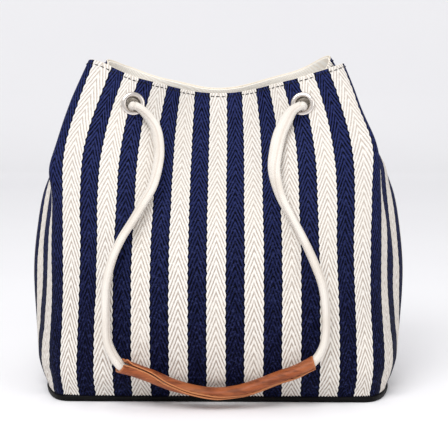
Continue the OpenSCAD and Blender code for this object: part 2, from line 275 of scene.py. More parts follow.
def twill_material(name, light, deep, pitch=1.3 * MM):
    """Plain fine twill, for the lining, the facing and the threads."""
    m = Shader(name)
    inputs = {"Vector": m.place, "Scale": 0.314 / pitch, "Distortion": 1.5, "Detail": 1}
    wave = m.add("TexWave", inputs, bands_direction="DIAGONAL")
    slub = m.noise(m.stretched((1, 1, 0.2)), 0.006, 3)
    colour = m.mix(m.step(wave.outputs[1], 0.1, 0.9), deep, light)
    colour = m.mix(m.step(slub, 0.4, 0.7, 0, 0.35), colour, deep)
    m.set(Base_Color=colour, Roughness=m.step(slub, 0.3, 0.7, 0.8, 0.95))
    m.set(Specular_IOR_Level=0.2, Sheen_Weight=0.1)
    m.bump(wave.outputs[1], 0.12 * MM, 0.6)
    return m.mat


def rope_material():
    """Soft off-white cord in a close-fitting cotton cover, with painted shade along its folds."""
    m = Shader("cotton_cord")
    u, v = m.along_map("cord")
    knit = m.calc("SINE", u * 9000 + v * 40) * m.calc("SINE", u * 9000 - v * 40)
    broad = m.noise(m.place, 0.03, 2)
    colour = m.mix(m.step(broad, 0.35, 0.7), srgb(231, 225, 217), srgb(220, 212, 202))
    colour = m.mix(m.step(knit, -0.9, 0.3, 0.2, 0), colour, srgb(190, 176, 162))
    # painted shade: the folds marked along the cord are painted darker
    colour = m.mix(m.mark("shade_in_hollows") * 0.5, colour, srgb(196, 180, 166))
    m.set(Base_Color=colour, Roughness=m.step(broad, 0.3, 0.7, 0.72, 0.85))
    m.set(Specular_IOR_Level=0.3, Sheen_Weight=0.15)
    m.bump(knit, 0.1 * MM, 0.5)
    return m.mat


def leather_material(name, tone, deep, pale, roughness, shine):
    """Grained leather, paler on its cut and rubbed edges."""
    m = Shader(name)
    pores = m.cells(1.1 * MM)
    creases = m.noise(m.stretched((0.22, 1, 1.6)), 0.0045, 5, 0.65)
    broad = m.noise(m.place, 0.028, 2)
    colour = m.mix(m.step(creases, 0.34, 0.6), deep, tone)
    colour = m.mix(m.step(broad, 0.35, 0.7, 0, 0.3), colour, pale)
    colour = m.mix(m.step(pores, 0.0, 0.35, 0.25, 0), colour, deep)
    rubbed = m.mark("cut_edge") * m.step(creases, 0.3, 0.6, 0.55, 1)
    colour = m.mix(rubbed, colour, pale)
    m.set(Base_Color=colour)
    m.set(Roughness=m.step(creases, 0.3, 0.7, roughness + 0.1, roughness - 0.05))
    m.set(Specular_IOR_Level=shine)
    m.bump(pores * 0.6 + creases * 0.8, 0.3 * MM, 0.6)
    return m.mat


def metal_material(name, tone, roughness):
    """Plated metal with fine handling marks, and painted shade where it is marked hollow."""
    m = Shader(name)
    haze = m.noise(m.place, 0.004, 3)
    marks = m.noise(m.stretched((1, 6, 1)), 0.002, 4, 0.7)
    dull = tuple(0.72 * c for c in tone[:3]) + (1,)
    plating = m.mix(m.step(haze, 0.4, 0.75, 0, 0.5), tone, dull)
    # painted shade: marked hollows are painted dark brown
    m.set(Base_Color=m.mix(m.mark("shade_in_hollows"), plating, srgb(40, 31, 25)))
    m.set(Metallic=1.0, Roughness=m.step(marks, 0.35, 0.7, roughness, roughness + 0.15))
    m.bump(marks, 0.03 * MM, 0.35)
    return m.mat


def board_material():
    m = Shader("grey_board")
    fibre = m.noise(m.stretched((1, 0.3, 1)), 0.003, 4)
    m.set(Base_Color=m.mix(fibre, srgb(120, 118, 112), srgb(150, 148, 142)))
    m.set(Roughness=m.step(fibre, 0.3, 0.7, 0.8, 0.95))
    m.bump(fibre, 0.15 * MM, 0.5)
    return m.mat


def floor_material():
    m = Shader("pale_floor")
    cloudy = m.noise(m.place, 0.4, 2)
    m.set(Base_Color=m.mix(cloudy, srgb(246, 245, 249), srgb(250, 250, 252)))
    m.set(Roughness=m.step(cloudy, 0.3, 0.7, 0.55, 0.65), Specular_IOR_Level=0.2)
    return m.mat


CANVAS = canvas_material()
CREAM_TWILL = twill_material("cream_twill", srgb(255, 253, 248), srgb(246, 239, 229))
DARK_THREAD = twill_material("dark_thread", srgb(34, 34, 46), srgb(12, 12, 20), 0.4 * MM)
TAN_THREAD = twill_material("tan_thread", srgb(196, 138, 86), srgb(140, 86, 46), 0.4 * MM)
CORD = rope_material()
COGNAC = leather_material(
    "cognac_leather", srgb(150, 76, 37), srgb(104, 47, 20), srgb(188, 120, 76), 0.45, 0.3
)
BLACK_LEATHER = leather_material(
    "black_base", srgb(9, 8, 8), srgb(4, 3, 4), srgb(18, 15, 15), 0.55, 0.12
)
NICKEL = metal_material("polished_nickel", srgb(222, 214, 208), 0.1)
SNAP_STEEL = metal_material("snap_steel", srgb(190, 188, 184), 0.25)
BOARD = board_material()


# ---- cloth surface
# Places on the bag are given by girth and rise, as in the design. Girth is 0
# at the middle of the front, 100 at the right side seam and 200 at the middle
# of the back. Rise is 0 at the base and 100 at the rim.
BAG_WIDTH = 0.352
BAG_DEPTH = 0.210
BAG_HEIGHT = 0.304
RIM_LEAN = 0.036
SEAM = 100
NET_GIRTH = np.array([0, 36, 50, 64, 80, 100.0])
NET_RISE = np.array([0, 11, 30, 45, 58, 73, 88, 100.0])
# One row for each rise, from the foot to the rim; a point is half width,
# half depth and height, in percent
NET = np.array(
    [
        [[0, 83, 0.7], [48, 83, 0.7], [66, 83, 0.7], [81, 79, 0.7], [89, 44, 0.7], [89, 0, 0.7]],
        [[0, 98, 11], [48, 96, 11], [67, 90, 11], [83, 81, 11], [94, 43, 11], [96, 0, 11.5]],
        [[0, 100, 31], [48, 94, 31], [66, 84, 31], [82, 66, 31], [92, 36, 31.5], [100, 0, 32]],
        [[0, 94, 46], [48, 90, 46.5], [66, 76, 46.5], [83, 59, 47], [92, 30, 47.5], [99, 0, 47.5]],
        [[0, 78, 57], [47.5, 78, 58], [67, 68, 59], [84, 52, 60], [90, 22, 60.5], [95, 0, 61]],
        [[0, 50, 67], [47, 64, 70], [66, 59, 72.5], [84, 45, 74.5], [88, 20, 71], [83, 0, 73]],
        [[0, 23, 78], [44, 49, 83], [61, 46, 85.5], [77, 32, 88], [75, 13, 84], [59, 0, 79]],
        [[0, 7, 89.5], [38.5, 40, 94], [54.5, 38, 97], [68, 19, 100], [54, 10, 92.5], [37.5, 0, 83.5]],
    ]
)
CLOTH_RATE = 1.335
LEAN_FROM = 0.080
LEAN_TO = 0.260


def smooth(u):
    c = np.clip(u, 0, 1)
    return c * c * (3 - 2 * c)


def girth_slopes():
    m = np.zeros_like(NET)
    span = (NET_GIRTH[2:] - NET_GIRTH[:-2])[None, :, None]
    m[:, 1:-1] = (NET[:, 2:] - NET[:, :-2]) / span
    m[:, 0] = [CLOTH_RATE, 0, 0]
    m[:, -1, 1] = -NET[:, -2, 1] / (NET_GIRTH[-1] - NET_GIRTH[-2])
    return m


SLOPES = girth_slopes()


def hermite(knots, values, slopes, x):
    """Cubic through values[i, k] at the knots k, one x for each i."""
    k = np.clip(np.searchsorted(knots, x, side="right") - 1, 0, len(knots) - 2)
    h = (knots[k + 1] - knots[k])[:, None]
    u = (x - knots[k])[:, None] / h
    at = np.arange(len(x))
    v0, v1 = values[at, k], values[at, k + 1]
    m0, m1 = slopes[at, k], slopes[at, k + 1]
    return (
        (2 * u**3 - 3 * u**2 + 1) * v0
        + (u**3 - 2 * u**2 + u) * h * m0
        + (3 * u**2 - 2 * u**3) * v1
        + (u**3 - u**2) * h * m1
    )


def as_lists(*values):
    """Numbers and arrays as plain lists of the same length."""
    return [a.ravel() for a in np.broadcast_arrays(*(np.asarray(v, float) for v in values))]


def designed(girth, rise):
    """Points of the canvas as designed, before it is draped."""
    girth, rise = as_lists(girth, rise)
    g = (girth + 200) % 400 - 200
    behind = np.abs(g) > SEAM
    q = np.where(behind, 200 - np.abs(g), np.abs(g))
    # the whole net is the same for each point, so its rows are crossed at once
    net = [a.swapaxes(0, 1).reshape(len(NET_GIRTH), -1) for a in (NET, SLOPES)]
    net = [np.broadcast_to(a, (len(q),) + a.shape) for a in net]
    column = hermite(NET_GIRTH, *net, q).reshape(len(q), -1, 3)
    m = np.empty_like(column)
    m[:, 1:-1] = (column[:, 2:] - column[:, :-2]) / (NET_RISE[2:] - NET_RISE[:-2])[None, :, None]
    m[:, 0] = (column[:, 1] - column[:, 0]) / (NET_RISE[1] - NET_RISE[0])
    m[:, -1] = (column[:, -1] - column[:, -2]) / (NET_RISE[-1] - NET_RISE[-2])
    p = hermite(NET_RISE, column, m, rise)
    z = p[:, 2] * BAG_HEIGHT / 100
    lean = RIM_LEAN * smooth((z - LEAN_FROM) / (LEAN_TO - LEAN_FROM))
    side = np.where(g < 0, -1, 1)
    x = side * p[:, 0] * BAG_WIDTH / 200
    y = np.where(behind, 1, -1) * p[:, 1] * BAG_DEPTH / 200 + lean
    return np.stack([x, y, z], axis=1)


EYELET_GIRTH = 38
EYELET_RISE = 92
SNAP_RISE = 93
EYELETS = {
    "front_left": -EYELET_GIRTH,
    "front_right": EYELET_GIRTH,
    "back_left": EYELET_GIRTH - 200,
    "back_right": 200 - EYELET_GIRTH,
}

# Grid of the draped cloth: columns round the bag, rows up it
COLUMNS = 120
ROWS = 42
drift = np.zeros((COLUMNS, ROWS, 3))


# How the cloth hangs away from the even shape of the design, in millimetres:
# girth, its reach, rise, its reach, and the way it goes. The left front fold
# stands out and the right one is tucked in, under a lower corner; the back
# edge stands a little higher between its corners, which are folded in.
HANG = [
    (-67, 6, 106, 22, (-5.8, -1.5, 0)),
    (-54, 10, 104, 20, (3.8, -1.5, 0)),
    (-67, 5, 65, 6.5, (-5.0, -2.5, 0)),
    (-67, 7, 45, 20, (-1.5, -0.5, 0)),
    (-73, 3.5, 60, 22, (2.2, 0, 0)),
    (71, 8, 84, 13, (-8.0, 2.0, 0)),
    (72, 3.5, 58, 20, (-2.0, 0, 0)),
    (63, 6, 74, 9, (3.0, -0.6, 0)),
    (88, 8, 67, 6, (2.6, 0, 0)),
    (138, 12, 103, 11, (-12.0, 0, -1.0)),
    (-138, 12, 103, 11, (11.0, 0, -1.0)),
    (62, 9, 103, 9, (0, 0, -4.0)),
    (180, 26, 103, 8, (0, 0, 5.0)),
    (144, 16, 103, 8, (0, 0, 5.0)),
    (-183, 14, 103, 8, (0, 0, 4.0)),
    (-155, 12, 103, 9, (0, 0, 3.5)),
    (200, 25, 104, 6, (0, 0, 2.0)),
    (-30, 16, 32, 18, (0, -1.6, 0)),
    (22, 14, 42, 16, (0, 1.6, 0)),
    (48, 12, 25, 18, (0.8, -1.4, 0)),
    (-8, 12, 62, 12, (0, -1.5, 0)),
]


def hang(girth, rise):
    """The moves above, blended; they fade out at the foot of the bag."""
    total = np.zeros((len(girth), 3))
    for g, wide, r, tall, way in HANG:
        across = (girth - g + 200) % 400 - 200
        weight = np.exp(-((across / wide) ** 2) - ((rise - r) / tall) ** 2)
        total += weight[:, None] * np.array(way) * MM
    return total * smooth(rise / 8)[:, None]


def spline_weights(u):
    return (
        (-u + 2 * u**2 - u**3) / 2,
        (2 - 5 * u**2 + 3 * u**3) / 2,
        (u + 4 * u**2 - 3 * u**3) / 2,
        (-(u**2) + u**3) / 2,
    )


def drifted(girth, rise):
    """How far draping moved the cloth at these places."""
    a = ((girth + 200) % 400) / 400 * COLUMNS
    b = np.clip(rise, 0, 100) / 100 * (ROWS - 1)
    i, j = a.astype(int), np.minimum(b.astype(int), ROWS - 2)
    wa, wb = spline_weights(a - i), spline_weights(b - j)
    total = np.zeros((len(a), 3))
    for k in range(4):
        column = (i + k - 1) % COLUMNS
        for n in range(4):
            row = np.clip(j + n - 1, 0, ROWS - 1)
            total += (wa[k] * wb[n])[:, None] * drift[column, row]
    return total


def cloth(girth, rise):
    girth, rise = as_lists(girth, rise)
    return designed(girth, rise) + hang(girth, rise) + drifted(girth, rise)


def directions(girth, rise):
    """Outward, upward and round-the-bag directions of the cloth."""
    girth, rise = as_lists(girth, rise)
    d = 0.4
    round_way = cloth(girth + d, rise) - cloth(girth - d, rise)
    up = cloth(girth, np.minimum(rise + d, 100)) - cloth(girth, np.maximum(rise - d, 0))
    out = np.cross(round_way, up)
    return tuple(v / np.linalg.norm(v, axis=1)[:, None] for v in (out, up, round_way))


def on(girth, rise, depth=0.0, above=0.0):
    """Points off the cloth by depth, outward, and above, up along it."""
    girth, rise, depth, above = as_lists(girth, rise, depth, above)
    out, up, _ = directions(girth, rise)
    return cloth(girth, rise) + (depth[:, None] * out + above[:, None] * up)


def mesh_object(name, points, faces, material):
    mesh = bpy.data.meshes.new(name)
    mesh.from_pydata([tuple(map(float, p)) for p in points], [], faces)
    mesh.validate()
    mesh.update()
    mesh.polygons.foreach_set("use_smooth", [True] * len(mesh.polygons))
    mesh.materials.append(material)
    return add_object(name, mesh)


def hold_mask(girth, rise):
    """1 where the cloth is free to move, 0 where something holds it."""
    free = smooth(rise / 8) * smooth((100 - rise) / 7)
    fittings = [(g, EYELET_RISE, 0.013, 0.022) for g in EYELETS.values()]
    fittings += [(g, SNAP_RISE, 0.012, 0.02) for g in (0, 200)]
    for g, r, held, fade in fittings:
        gap = ((girth - g + 200) % 400 - 200) / 100 * QUARTER_CUT
        rows = (rise - r) / 100 * HEIGHT_CUT
        free = free * smooth((np.hypot(gap, rows) - held) / fade)
    return free


# The furthest that a point of the cloth moves, and how much larger than its
# place the cloth is cut, with the spread of this from column to column
MOST_DRIFT = 0.0035
CLOTH_SPARE = 1.014
SPARE_SPREAD = 0.004
LAST_FRAME = 24
SOLVER = {
    "quality": 6, "mass": 0.35, "tension_stiffness": 30, "compression_stiffness": 30,
    "shear_stiffness": 12, "bending_stiffness": 3, "vertex_group_mass": "held",
    "pin_stiffness": 1.0,
}


def drape():
    """Sags the canvas between what holds it, with the Cloth solver."""
    global drift
    g = np.repeat(np.arange(COLUMNS) * 400 / COLUMNS - 200, ROWS)
    r = np.tile(np.linspace(0, 100, ROWS), COLUMNS)
    start = cloth(g, r)
    feet = [(i * ROWS, (i + 1) % COLUMNS * ROWS) for i in range(COLUMNS)]
    faces = [(a + j, b + j, b + j + 1, a + j + 1) for a, b in feet for j in range(ROWS - 1)]
    ob = mesh_object("drape_grid", start, faces, CANVAS)
    ob.shape_key_add(name="start")
    cut = ob.shape_key_add(name="cut")
    middle = start.mean(axis=0)
    rng = np.random.default_rng(11)
    spare = CLOTH_SPARE + SPARE_SPREAD * rng.standard_normal(COLUMNS).repeat(ROWS)
    cut.data.foreach_set("co", (middle + (start - middle) * spare[:, None]).ravel())
    cut.value = 0
    free = hold_mask(g, r)
    held = ob.vertex_groups.new(name="held")
    for i, f in enumerate(free):
        held.add([i], 1.0 if f < 0.02 else 0.5 - 0.25 * float(f), "REPLACE")
    solver = ob.modifiers.new("drape", "CLOTH").settings
    for key, value in SOLVER.items():
        setattr(solver, key, value)
    solver.rest_shape_key = cut
    scene = bpy.context.scene
    scene.frame_end = max(scene.frame_end, LAST_FRAME)
    for f in range(1, LAST_FRAME + 1):
        scene.frame_set(f)
    shape = ob.evaluated_get(bpy.context.evaluated_depsgraph_get()).to_mesh()
    end = np.empty(len(shape.vertices) * 3)
    shape.vertices.foreach_get("co", end)
    moved = (end.reshape(-1, 3) - start) * free[:, None]
    furthest = np.linalg.norm(moved, axis=1).max()
    drift = (moved * min(1, MOST_DRIFT / furthest)).reshape(COLUMNS, ROWS, 3)
    scene.frame_set(1)
    bpy.data.objects.remove(ob)


drape()


# ---- cord routes
# The ropes' routes as in the design: the front rope from beside its left
# pivot to its right one, and the right half of the back rope
ROPE_D = 0.0115
ROPE_T = 0.0076
FRONT_POINTS = [
    (-71, -21, 260), (-63, -19, 251), (-57, -22, 241), (-54, -29, 226), (-54, -40, 212),
    (-58, -58, 193), (-66, -72, 178), (-75, -83, 163), (-84, -91, 149), (-92, -98, 131),
    (-97, -103, 108), (-97, -107, 80), (-95, -110, 58), (-84, -112, 39), (-71, -113, 35),
    (-55, -113, 29), (-38, -113, 22), (-19, -113, 17), (0, -113, 15), (19, -113, 17),
    (38, -113, 23), (56, -113, 30), (72, -113, 36), (86, -112, 43), (95, -110, 58),
    (97, -107, 80), (94, -103, 108), (86, -99, 130), (76, -91, 151), (67, -80, 167),
    (59, -69, 181), (54, -57, 195), (52, -44, 208), (54, -32, 223), (58, -23, 238),
    (66, -20, 254), (71, -21, 260),
]
BACK_HALF = [
    (72, 94, 261), (66, 93, 255), (56, 93, 241), (50, 97, 223), (50, 103, 205),
    (57, 110, 187), (68, 113, 171), (82, 114, 157), (97, 114, 141), (107, 113, 120),
    (111, 112, 96), (109, 112, 72), (101, 113, 53), (88, 113, 41), (72, 113, 34),
    (56, 113, 27), (38, 113, 21), (19, 113, 17), (0, 113, 15),
]
# The points of each route that its leather grip goes from and to
GRIP_FROM = 13
GRIP_TO = 23
# The side of each handle that is away from the bag
AWAY = {"front": -1, "back": 1}
PIVOTS = {"front": (77.1, -22.5, 266.4), "back": (77.1, 94.5, 266.4)}


BACK_POINTS = [(-x, y, z) for x, y, z in BACK_HALF] + BACK_HALF[-2::-1]
ROUTES = {"front": np.array(FRONT_POINTS) * MM, "back": np.array(BACK_POINTS) * MM}


def spaced(start, end, step):
    return np.linspace(start, end, max(2, int(round((end - start) / step)) + 1))


def resample(path, step):
    """Evenly spaced points of a smooth curve through a path."""
    path = np.asarray(path, float)
    fine = []
    for k in range(len(path) - 1):
        a, b = path[max(k - 1, 0)], path[k]
        c, d = path[k + 1], path[min(k + 2, len(path) - 1)]
        for u in np.linspace(0, 1, 12, endpoint=False):
            w = spline_weights(u)
            fine.append(w[0] * a + w[1] * b + w[2] * c + w[3] * d)
    fine = np.array(fine + [path[-1]])
    run = np.concatenate([[0], np.cumsum(np.linalg.norm(np.diff(fine, axis=0), axis=1))])
    at = spaced(0, run[-1], step)
    return np.stack([np.interp(at, run, fine[:, k]) for k in range(3)], axis=1)


def length_of(path):
    return float(np.linalg.norm(np.diff(path, axis=0), axis=1).sum())


def tangents(path):
    t = np.gradient(path, axis=0)
    return t / np.linalg.norm(t, axis=1)[:, None]


def mark_points(ob, name, values):
    """A value at each of a mesh's points, for its material."""
    ob.data.attributes.new(name, "FLOAT", "POINT").data.foreach_set("value", values)


def turning_frames(path, first):
    """Side and upper directions along a path, turned as little as possible."""
    t = tangents(path)
    side = np.array(first, float)
    frames = []
    for k in range(len(path)):
        side = side - t[k] * side.dot(t[k])
        side = side / np.linalg.norm(side)
        frames.append((side, np.cross(t[k], side)))
    return frames


def handle_frames(path):
    """Back and down directions at each point of a handle."""
    frames = []
    for t in tangents(path):
        down = np.cross([0, 1, 0], t)
        down /= np.linalg.norm(down)
        frames.append((np.cross(t, down), down))
    return frames


def band(a, b, n, inward=False):
    """Faces between two rings of n points that start at points a and b."""
    faces = [(a + i, a + (i + 1) % n, b + (i + 1) % n, b + i) for i in range(n)]
    return [(p, s, r, q) for p, q, r, s in faces] if inward else faces


def circle(middle, radius, side, up, sides):
    a = np.arange(sides) * 2 * math.pi / sides
    return middle + radius * (np.cos(a)[:, None] * side + np.sin(a)[:, None] * up)


def loft(name, rings, material, joined=False, spacing=None):
    """Closed skin through rings of points, its ends closed by fans."""
    n = len(rings[0])
    points = [p for ring in rings for p in ring]
    faces = []
    for k in range(len(rings) if joined else len(rings) - 1):
        faces += band(k * n, (k + 1) % len(rings) * n, n)
    if not joined:
        top = (len(rings) - 1) * n
        points += [np.mean(ring, axis=0) for ring in (rings[0], rings[-1])]
        for i in range(n):
            j = (i + 1) % n
            faces.append((len(points) - 2, j, i))
            faces.append((len(points) - 1, top + i, top + j))
    ob = mesh_object(name, points, faces, material)
    if spacing:
        cord_map(ob, n, *spacing)
    return ob


def cord_map(ob, n, along, around):
    """Map of a skin, by the spacing of its rings and of a ring's n points."""
    layer = ob.data.uv_layers.new(name="cord")
    values = np.zeros((len(ob.data.loops), 2))
    for poly in ob.data.polygons:
        sides = [v % n for v in poly.vertices]
        # a face from the last point to the first goes on past the last
        wraps = max(sides) - min(sides) > n / 2
        for loop, v, side in zip(poly.loop_indices, poly.vertices, sides):
            side += n if wraps and side < n / 2 else 0
            values[loop] = v // n * along, side * around
    layer.data.foreach_set("uv", values.ravel())


# ---- rope handles
# How the flattened rope turns: broad side out at the eyelets, in degrees, and
# how far along it this goes
TURNS = {"front": (35, 70), "back": (40, 40)}
TURN_RUN = 0.075
# Stretch of each rope that its grip squeezes, from the rope's left end
GRIP_SPAN = {
    which: (length_of(route[: GRIP_FROM + 1]) + 0.025, length_of(route[: GRIP_TO + 1]))
    for which, route in ROUTES.items()
}
# How far under the middle of its eyelet each rope lies
LOW_IN_HOLE = 3 * MM


def rope(which):
    """Soft cord from pivot to pivot, flattened, with a fold along it."""
    start = np.array(PIVOTS[which]) * MM - [0, 0, LOW_IN_HOLE]
    path = np.concatenate([[start * [-1, 1, 1]], ROUTES[which], [start]])
    line = resample(path, 3 * MM)
    frames = handle_frames(line)
    total = length_of(line)
    sides = 36
    rings, fold_shade = [], []
    left, right = (math.radians(a) for a in TURNS[which])
    for k, (p, (back, down)) in enumerate(zip(line, frames)):
        run = k / (len(line) - 1)
        from_left = run * total / TURN_RUN
        from_right = (1 - run) * total / TURN_RUN
        turn = left * bell(from_left - 0.7) - right * bell(from_right - 0.7)
        turn += 0.22 * math.sin(9 * run + 1) + 0.1 * math.sin(31 * run)
        # wider where it hangs free, thicker and round inside the eyelet
        near_end = bell(min(run, 1 - run) * total / 0.012)
        free = math.exp(-((from_right - 0.55) ** 2) * 3) if which == "front" else 0
        wide = ROPE_D / 2 * (1 + 0.13 * free + 0.03 * math.sin(37 * run + 1))
        thin = ROPE_T / 2 * (1 + 0.04 * math.sin(53 * run))
        if GRIP_SPAN[which][0] < run * total < GRIP_SPAN[which][1]:
            wide *= 0.93
            thin *= 0.86
        wide += (0.72 * ROPE_D / 2 - wide) * near_end
        thin += (0.62 * ROPE_D / 2 - thin) * near_end
        ring = []
        for i in range(sides):
            a = 2 * math.pi * i / sides
            # a soft fold runs along each broad side, off its middle
            fold = 0.0
            for middle in (0.5 * math.pi + 0.5, 1.5 * math.pi - 0.45):
                off = math.atan2(math.sin(a - middle), math.cos(a - middle))
                fold += bell(off / 0.17)
            fold_shade.append(fold)
            shrink = 1 - 0.1 * fold * (1 - near_end)
            x, y = wide * math.cos(a) * shrink, thin * math.sin(a) * shrink
            ring.append(p + (x * math.cos(turn) - y * math.sin(turn)) * back
                        + (x * math.sin(turn) + y * math.cos(turn)) * down)
        rings.append(ring)
    spacing = (total / (len(line) - 1), 1 / sides)
    ob = loft(f"rope_{which}_cord", rings, CORD, spacing=spacing)
    # the folds are marked for the painted shade along them
    mark_points(ob, "shade_in_hollows", fold_shade + [0.0, 0.0])
    belongs(ob, f"handle_{which}", "rope", f"rope_{which}")
    return ob, line


ropes = {which: rope(which) for which in AWAY}


# ---- leather grips
GRIP_T = 1.3 * MM
GRIP_WIDE = ROPE_D / 2 + 0.75 * MM
GRIP_HIGH = ROPE_T / 2 + 0.15 * MM


def grip_outline(lip, gape, spread, swing):
    """Middle line of the leather strip round the rope, from lip to lip.

    Points are back and down from the rope's middle. The joined edges stand
    out by lip at the angle swing from straight down, gape apart; spread is
    how much further from the rope the leather stands."""
    wide, high = GRIP_WIDE + spread, GRIP_HIGH + spread
    start = math.pi / 2 + swing

    def oval(a):
        return np.array([wide * math.cos(a), high * math.sin(a)])

    root = oval(start)
    out = root / np.linalg.norm(root)
    beside = np.array([-out[1], out[0]])
    half = gape / 2 + GRIP_T / 2
    open_at = half / np.linalg.norm(root)

    def edge(sign):
        return [root + out * lip * (1 - k / 5) + sign * beside * half * (1.25 - 0.25 * k / 4)
                for k in range(5)]

    round_way = 2 * math.pi - 2 * open_at
    body = [oval(start - open_at - round_way * u) for u in np.linspace(0, 1, 31)]
    return np.array(edge(-1) + body + edge(1)[::-1]), out, beside, root


def thicken(line, thickness):
    """Closed outline of a strip that follows a line, with rounded ends."""
    t = tangents(line)
    h = thickness / 2
    over = h * np.stack([t[:, 1], -t[:, 0]], axis=1)
    first = line[0] - 0.6 * h * t[0]
    last = line[-1] + 0.6 * h * t[-1]
    return np.concatenate([line + over, [last], (line - over)[::-1], [first]])


def grip(which):
    """Leather sleeve folded round the rope, its edges joined in a lip that
    turns from the front on the left to underneath on the right."""
    line = resample(ROUTES[which][GRIP_FROM:GRIP_TO + 1], 2 * MM)
    frames = handle_frames(line)
    total = length_of(line)
    n = len(line)
    rings, edges, lip_run = [], [], []
    for k, (p, (back, down)) in enumerate(zip(line, frames)):
        run = k / (n - 1)
        end = min(run, 1 - run) * total
        flare = bell(end / (7 * MM)) * (1 - 0.6 * run)
        swing = math.radians(-AWAY[which] * (10 + 126 * bell(run / 0.47)))
        swing += 0.06 * math.sin(17 * run) + 0.04 * math.sin(41 * run + 2)
        lip = (1.7 + 0.35 * math.sin(29 * run + 1)) * MM + 0.9 * MM * flare
        gape = (0.3 + 0.5 * math.sin(9 * run + 0.5) ** 2) * MM + 3.0 * MM * flare
        slack = 1 - bell((run - 0.47) / 0.22)
        loose = (0.1 + (1.2 if run < 0.47 else 0.3) * slack) * MM
        outline, out, beside, root = grip_outline(lip, gape, loose + 0.6 * MM * flare, swing)
        section = thicken(outline, GRIP_T)
        along = np.cross(back, down)
        toward = 1 if run > 0.5 else -1
        ring = []
        for a, b in section:
            # the ends are cut on a slant, longest at the two edges
            share = (a * out[0] + b * out[1]) / (GRIP_WIDE + lip)
            reach = flare * (4.5 * MM * share - 0.5 * MM) * toward
            ring.append(p + a * back + b * down + along * reach)
        rings.append(ring)
        lip_run.append((p + root[0] * back + root[1] * down,
                        out[0] * back + out[1] * down,
                        beside[0] * back + beside[1] * down, lip, gape))
        m = len(outline)
        edges.append([1.0 if min(i, abs(i - m)) < 2 or i > len(section) - 3 else 0.0
                      for i in range(len(section))])
    ob = open_strip(f"grip_{which}_leather", rings, COGNAC)
    values = np.array(edges)
    values[[0, -1], :] = 0.8
    mark_points(ob, "cut_edge", values.ravel())
    belongs(ob, f"handle_{which}", "tan_leather", f"grip_{which}")
    return ob, lip_run


def open_strip(name, rings, material):
    """Loft of a thick strip's outline, closed at its ends across the strip."""
    n = len(rings[0])
    points = [p for ring in rings for p in ring]
    faces = []
    for k in range(len(rings) - 1):
        faces += band(k * n, (k + 1) * n, n, inward=True)
    m = (n - 2) // 2
    end = [(n - 1, 0, n - 2), (m - 1, m, m + 1)]
    end += [(i, i + 1, n - 3 - i, n - 2 - i) for i in range(m - 1)]
    top = (len(rings) - 1) * n
    faces += end + [tuple(top + v for v in reversed(c)) for c in end]
    return mesh_object(name, points, faces, material)


grips = {which: grip(which) for which in AWAY}


# ---- stitches
def stitch_mesh(name, runs, radius, material):
    """Short rounded threads, one for each run of points."""
    points, faces = [], []
    sides = 8
    for run in runs:
        run = np.asarray(run)
        frames = turning_frames(run, (0.3, 0.2, 1))
        first = len(points)
        for k, (p, (side, up)) in enumerate(zip(run, frames)):
            u = 2 * k / (len(run) - 1) - 1
            thin = radius * math.sqrt(max(0.05, 1 - abs(u) ** 6))
            points.extend(circle(p, thin, side, up, sides))
        for k in range(len(run) - 1):
            faces += band(first + k * sides, first + (k + 1) * sides, sides, inward=True)
        last = first + (len(run) - 1) * sides
        faces.append(tuple(first + i for i in range(sides)))
        faces.append(tuple(last + i for i in reversed(range(sides))))
    return mesh_object(name, points, faces, material)


def rim_stitches():
    """Dark topstitches just under the rim."""
    pitch = 2.25
    count = int(400 / pitch)
    lift = np.array([-0.25, 0.2, 0.38, 0.42, 0.38, 0.2, -0.25]) * MM
    runs = []
    for k in range(count):
        g = -200 + k * 400 / count + np.linspace(0, pitch * random.uniform(0.7, 0.8), 7)
        runs.append(on(g, 99 + random.uniform(-0.07, 0.07), lift))
    ob = stitch_mesh("rim_stitches", runs, 0.38 * MM, DARK_THREAD)
    belongs(ob, "bag", "dark_thread", "rim_thread")


def grip_stitches(which):
    """Thread along the lip, on the side away from the bag."""
    lip_run = grips[which][1]
    runs = []
    for k in range(4, len(lip_run) - 6, 3):
        mid = []
        for root, out, beside, lip, gape in lip_run[k:k + 3]:
            side = 1 if AWAY[which] * beside[1] > 0 else -1
            mid.append(root + 0.55 * lip * out + side * (gape / 2 + GRIP_T + 0.1 * MM) * beside)
        runs.append(resample(np.array(mid), 0.8 * MM))
    ob = stitch_mesh(f"grip_stitches_{which}", runs, 0.3 * MM, TAN_THREAD)
    belongs(ob, f"handle_{which}", "light_thread", f"grip_thread_{which}")
    return ob


grip_threads = {which: grip_stitches(which) for which in AWAY}
rim_stitches()


